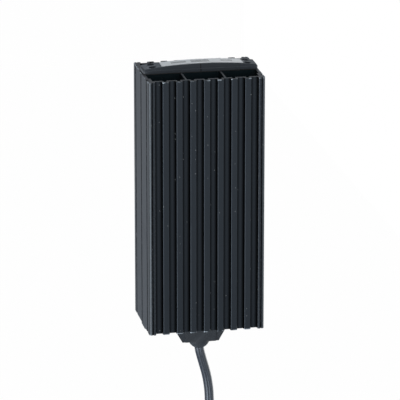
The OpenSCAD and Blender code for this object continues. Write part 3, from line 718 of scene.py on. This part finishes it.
class HEATER_OT_caps(bpy.types.Operator):
    """Finish the two caps, their seals and their screws"""
    bl_idname = "heater.caps"
    bl_label = "Caps"

    def execute(self, context):
        look = context.scene.heater_finish
        edge_width, line_width = 0.25 * MM, 0.5 * MM
        moulding = finish("black_moulding", look.moulding, darker(look.moulding, 0.75),
                          "moulded_grain", {"Grain": 2600.0, "Patches": 70.0},
                          roughness=0.5, spread=0.06, bump=0.3, sockets={"Specular IOR Level": 0.22})
        add_witness_line(moulding, line_width, low=PROFILE_HIGH.z)
        rubber = finish("seal_rubber", (0.014, 0.014, 0.014), (0.009, 0.009, 0.009),
                        "moulded_grain", {"Grain": 3000.0, "Patches": 90.0}, roughness=0.7, spread=0.08, bump=0.2)
        zinc = finish("black_zinc", (0.012, 0.012, 0.013), (0.006, 0.006, 0.007),
                      "moulded_grain", {"Grain": 1800.0, "Patches": 500.0},
                      roughness=0.38, spread=0.1, bump=0.15, sockets={"Metallic": 0.8})
        for node in ("top_cap", "bottom_cap"):
            keep_piece(softened(f"{node}_moulding", node, edge_width, moulding), "moulded_cap", node)
        for node in ("top_cap_seal", "bottom_cap_seal"):
            dress(node, rubber)
        for node in ("top_cap_screws", "bottom_cap_screws"):
            dress(node, zinc)
        return {"FINISHED"}


class HEATER_OT_label(bpy.types.Operator):
    """Finish the label strip and print plain rules on it"""
    bl_idname = "heater.label"
    bl_label = "Label"

    def execute(self, context):
        look = context.scene.heater_finish
        film = finish("label_film", look.label, darker(look.label, 0.88),
                      "moulded_grain", {"Grain": 2200.0, "Patches": 110.0}, roughness=0.4, spread=0.05, bump=0.08)
        ink = finish("label_ink", look.ink, darker(look.ink, 0.8),
                     "moulded_grain", {"Grain": 2500.0, "Patches": 150.0}, roughness=0.55, spread=0.05, bump=0.05)
        dress("label_plate", film)
        tree = ruled_field_tree()
        # Middle, length and number of the rules in each field
        fields = {"left": (-12.5, 9.0, 3), "middle": (0.5, 11.0, 4), "right": (16.5, 7.0, 2)}
        rule_width, rule_thickness, pitch, arch = 0.45 * MM, 0.06 * MM, 1.3 * MM, 285 * MM
        mid_y = (LABEL_LOW.y + LABEL_HIGH.y) / 2
        for name, (x, length, rows) in fields.items():
            middle = (x * MM, mid_y - (rows - 1) * pitch / 2, LABEL_HIGH.z)
            piece = run_tree(f"label_rules_{name}", tree, {
                "Length": length * MM, "Width": rule_width, "Thickness": rule_thickness, "Rows": rows,
                "Pitch": pitch, "Middle": middle, "Arch": arch, "Material": ink})
            keep_piece(piece, "label")
        return {"FINISHED"}


class HEATER_OT_stack(bpy.types.Operator):
    """Finish the heating stack, its terminals and its leads"""
    bl_idname = "heater.stack"
    bl_label = "Heating stack"

    def execute(self, context):
        grain = {"Grain": 1600.0, "Patches": 120.0}
        # Finish, colour, roughness and how metallic each part is
        plain = {
            "ptc_stones": ("heating_stone", (0.2, 0.18, 0.17), 0.5, 0.35),
            "stone_frame": ("frame_moulding", (0.72, 0.68, 0.56), 0.5, 0.0),
            "insulation_sleeve": ("amber_film", (0.55, 0.26, 0.04), 0.25, 0.0),
            "cable_collar": ("collar_moulding", (0.03, 0.03, 0.031), 0.5, 0.0),
        }
        for node, (name, colour, roughness, metallic) in plain.items():
            dress(node, finish(name, colour, darker(colour, 0.75), "moulded_grain", grain,
                               roughness=roughness, spread=0.08, bump=0.2, sockets={"Metallic": metallic}))
        # Finish, colour and roughness of the bare metals
        metals = {
            ("front_electrode", "rear_electrode"): ("rolled_brass", (0.72, 0.56, 0.28), 0.32),
            ("pressure_plate", "clamp_wedge"): ("mill_aluminium", (0.62, 0.63, 0.64), 0.4),
            ("live_connector", "neutral_connector", "earth_connector"): ("tinned_brass", (0.7, 0.64, 0.5), 0.3),
        }
        for nodes, (name, colour, roughness) in metals.items():
            metal = finish(name, colour, darker(colour, 0.8), "drawn_lines", {"Across": 1800.0, "Along": 30.0},
                           roughness=roughness, spread=0.08, bump=0.15, sockets={"Metallic": 1.0})
            for node in nodes:
                dress(node, metal)
        return {"FINISHED"}


class HEATER_OT_cable(bpy.types.Operator):
    """Make the cable with its coil, and finish the tie, the cores and their ferrules"""
    bl_idname = "heater.cable"
    bl_label = "Cable"

    def execute(self, context):
        look = context.scene.heater_finish
        sizes = context.scene.heater_cable
        jacket = finish("black_jacket", look.jacket, darker(look.jacket, 0.75),
                        "moulded_grain", {"Grain": 1500.0, "Patches": 220.0},
                        roughness=0.3, spread=0.05, bump=0.2, sockets={"Specular Tint": (0.75, 0.87, 1, 1)})
        nylon = finish("tie_nylon", (0.016, 0.016, 0.017), (0.01, 0.01, 0.011),
                       "moulded_grain", {"Grain": 2600.0, "Patches": 160.0}, roughness=0.42, spread=0.08, bump=0.25)
        dress("cable_tie", nylon)
        cores = {"live": (0.13, 0.055, 0.022), "neutral": (0.03, 0.09, 0.33), "earth": (0.16, 0.36, 0.03)}
        yellow = (0.62, 0.5, 0.03)
        for name, colour in cores.items():
            for node in (f"{name}_core", f"{name}_lead"):
                skin = finish(f"{node}_insulation", colour, darker(colour, 0.8),
                              "moulded_grain", {"Grain": 2400.0, "Patches": 300.0},
                              roughness=0.4, spread=0.06, bump=0.15)
                if name == "earth":
                    low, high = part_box(node)
                    add_stripe(skin, yellow, middle=(low.x + high.x) / 2)
                dress(node, skin)
        tin = finish("tinned_copper", (0.48, 0.48, 0.49), (0.36, 0.36, 0.37),
                     "drawn_lines", {"Across": 2200.0, "Along": 40.0},
                     roughness=0.3, spread=0.08, bump=0.2, sockets={"Metallic": 1.0})
        dress("core_ferrules", tin)
        line = smooth_route(CABLE_POINTS, steps=5)
        line += coil_line(sizes.coil_radius, sizes.diameter, steps=48)
        line += smooth_route(TAIL_POINTS, steps=3)
        line = [OUTLET + p for p in line]
        cord = cable_mesh("supply_cable", line, sizes.diameter, jacket)
        keep_piece(cord, "cable_jacket", "power_cable", "cable_coil", "cable_tail")
        teeth = self.strap_teeth(nylon)
        return {"FINISHED"}

    def strap_teeth(self, nylon):
        """Ribs on the outside of the tie's strap."""
        cable_radius, pitch, thickness, height = 2.85 * MM, 0.9 * MM, 0.25 * MM, 0.3 * MM
        width_share, round_share = 0.7, 0.999
        middle = OUTLET + COIL_MIDDLE + Vector((COIL_LOW.x + cable_radius, 0, 0))
        along = TIE_HIGH.y - TIE_LOW.y
        across = 2 * (middle.x - TIE_LOW.x)
        tooth = (thickness, (TIE_HIGH.z - TIE_LOW.z) * width_share, height)
        piece = run_tree("cable_tie_teeth", strap_teeth_tree(), {
            "Across": across, "Along": along, "Radius": across / 2 * round_share, "Pitch": pitch,
            "Tooth": tooth, "Middle": middle, "Material": nylon})
        return keep_piece(piece, "tie_plastic")


class HEATER_OT_clip(bpy.types.Operator):
    """Finish the rail clip and its screws"""
    bl_idname = "heater.clip"
    bl_label = "Rail clip"

    def execute(self, context):
        zinc = (0.4, 0.42, 0.45)
        steel = finish("zinc_plate", zinc, darker(zinc, 0.75), "moulded_grain", {"Grain": 900.0, "Patches": 180.0},
                       roughness=0.4, spread=0.1, bump=0.12, sockets={"Metallic": 1.0})
        dress("din_clip", steel)
        dress("din_clip_screws", steel)
        return {"FINISHED"}


class HEATER_OT_stage(bpy.types.Operator):
    """Set up the floor, the surroundings, the lamps and the camera"""
    bl_idname = "heater.stage"
    bl_label = "Stage"

    def execute(self, context):
        stage = context.scene.heater_stage
        context.scene.view_settings.view_transform = "Standard"
        self.surroundings(context.scene, stage.ambient)
        white = self.white_paper(stage.paper)
        room_below = 0.75
        left, right, front, rear = -1.5, 0.9, -1.5, 4.0
        low, high = CAD_BOX[0].z - room_below, 3.0
        self.screen("floor", [(left, front, low), (right, front, low), (right, rear, low), (left, rear, low)], white)
        self.screen("backdrop", [(left, rear, low), (right, rear, low), (right, rear, high), (left, rear, high)], white)
        middle = Vector((0, PROFILE_MID.y, PROFILE_MID.z))
        # Offset from the object, size and power of each lamp
        lamps = {
            "side_lamp": ((-1.3, -0.9, -0.45), 1.2, stage.side_light),
            "right_lamp": ((1.0, -0.85, -0.4), 0.5, stage.right_light),
            "rear_right_lamp": ((1.3, 0.6, -0.5), 0.9, stage.rear_light),
            "rear_lamp": ((0.35, 1.35, -0.5), 0.9, stage.rear_light),
            "front_lamp": ((0.29, -0.58, 0.0), 0.35, stage.front_light),
            "top_lamp": ((0.15, -0.7, 1.5), 1.0, stage.top_light),
        }
        for name, (offset, size, power) in lamps.items():
            self.lamp(name, middle, offset, size, power)
        self.camera(context.scene, stage)
        return {"FINISHED"}

    def surroundings(self, scene, ambient):
        """White where the camera or a finish looks past the screens, and dim as a light."""
        world = bpy.data.worlds.new("white_room")
        world.use_nodes = True
        tree = world.node_tree
        rays = add_node(tree, "ShaderNodeLightPath")
        shine = tree.nodes["Background"]
        shine.inputs["Color"].default_value = (1, 1, 1, 1)
        bounced = calc(tree, "MAXIMUM", rays.outputs["Is Glossy Ray"], rays.outputs["Is Transmission Ray"])
        shown = calc(tree, "MAXIMUM", rays.outputs["Is Camera Ray"], bounced)
        tree.links.new(swing(tree, shown, ambient, 1.0), shine.inputs["Strength"])
        scene.world = world

    def white_paper(self, mirrored):
        """White paper that looks evenly lit, takes a soft shadow, and is dimmer where a finish mirrors it."""
        grey, camera_share = (0.85, 0.85, 0.85, 1), 0.99
        white = bpy.data.materials.new("white_paper")
        white.use_nodes = True
        tree = white.node_tree
        shader = tree.nodes["Principled BSDF"]
        shader.inputs["Base Color"].default_value = grey
        shader.inputs["Roughness"].default_value = 0.9
        rays = add_node(tree, "ShaderNodeLightPath")
        tone = mix_colour(tree, rays.outputs["Is Camera Ray"], mirrored, (1, 1, 1))
        glow = add_node(tree, "ShaderNodeEmission", {"Color": tone, "Strength": 1.0})
        bounced = calc(tree, "MAXIMUM", rays.outputs["Is Glossy Ray"], rays.outputs["Is Transmission Ray"])
        direct = calc(tree, "MULTIPLY", rays.outputs["Is Camera Ray"], camera_share)
        share = calc(tree, "MAXIMUM", bounced, direct)
        mixed = add_node(tree, "ShaderNodeMixShader", {
            0: share, 1: shader.outputs[0], 2: glow.outputs[0]})
        tree.links.new(mixed.outputs[0], tree.nodes["Material Output"].inputs["Surface"])
        return white

    def screen(self, name, corners, material):
        """A flat sheet of paper below or behind the object."""
        mesh = bpy.data.meshes.new(name)
        mesh.from_pydata(corners, [], [(0, 1, 2, 3)])
        mesh.materials.append(material)
        sheet = bpy.data.objects.new(name, mesh)
        bpy.context.scene.collection.objects.link(sheet)

    def lamp(self, name, target, offset, size, power):
        """A soft square lamp aimed at the object."""
        data = bpy.data.lights.new(name, "AREA")
        data.shape = "SQUARE"
        data.size = size
        data.energy = power
        lamp = bpy.data.objects.new(name, data)
        lamp.visible_camera = False
        lamp.location = target + Vector(offset)
        lamp.rotation_mode = "QUATERNION"
        lamp.rotation_quaternion = (-Vector(offset)).to_track_quat("-Z", "Y")
        bpy.context.scene.collection.objects.link(lamp)

    def camera(self, scene, stage):
        """A long lens from the front, a little to the left and above."""
        sensor = 36
        front = Vector((0, PROFILE_LOW.y, PROFILE_MID.z))
        back = Vector((-math.sin(stage.turn) * math.cos(stage.rise),
                       -math.cos(stage.turn) * math.cos(stage.rise), math.sin(stage.rise)))
        turn = (-back).to_track_quat("-Z", "Y")
        shift = turn @ Vector((-stage.aim_left, stage.aim_up, 0))
        data = bpy.data.cameras.new("camera")
        data.lens = stage.lens
        data.sensor_width = sensor
        camera = bpy.data.objects.new("camera", data)
        camera.rotation_mode = "QUATERNION"
        camera.location = front + shift + back * stage.distance
        camera.rotation_quaternion = turn
        scene.collection.objects.link(camera)
        scene.camera = camera


class HEATER_PT_panel(bpy.types.Panel):
    """Lists the steps that dress the heater"""
    bl_idname = "HEATER_PT_panel"
    bl_label = "Enclosure heater"
    bl_space_type = "VIEW_3D"
    bl_region_type = "UI"
    bl_category = "Heater"

    def draw(self, context):
        for operator in OPERATORS:
            self.layout.operator(operator.bl_idname)


OPERATORS = (HEATER_OT_cable, HEATER_OT_profile, HEATER_OT_caps, HEATER_OT_label, HEATER_OT_stack,
             HEATER_OT_clip, HEATER_OT_stage)
GROUPS = {"heater_finish": HeaterFinish, "heater_cable": HeaterCable, "heater_stage": HeaterStage}


def register():
    for name, group in GROUPS.items():
        bpy.utils.register_class(group)
        setattr(bpy.types.Scene, name, bpy.props.PointerProperty(type=group))
    for operator in OPERATORS:
        bpy.utils.register_class(operator)
    bpy.utils.register_class(HEATER_PT_panel)


def unregister():
    bpy.utils.unregister_class(HEATER_PT_panel)
    for operator in reversed(OPERATORS):
        bpy.utils.unregister_class(operator)
    for name, group in reversed(GROUPS.items()):
        delattr(bpy.types.Scene, name)
        bpy.utils.unregister_class(group)


def main():
    register()
    bpy.ops.heater.cable()
    bpy.ops.heater.profile()
    bpy.ops.heater.caps()
    bpy.ops.heater.label()
    bpy.ops.heater.stack()
    bpy.ops.heater.clip()
    bpy.ops.heater.stage()


if __name__ == "__main__":
    main()
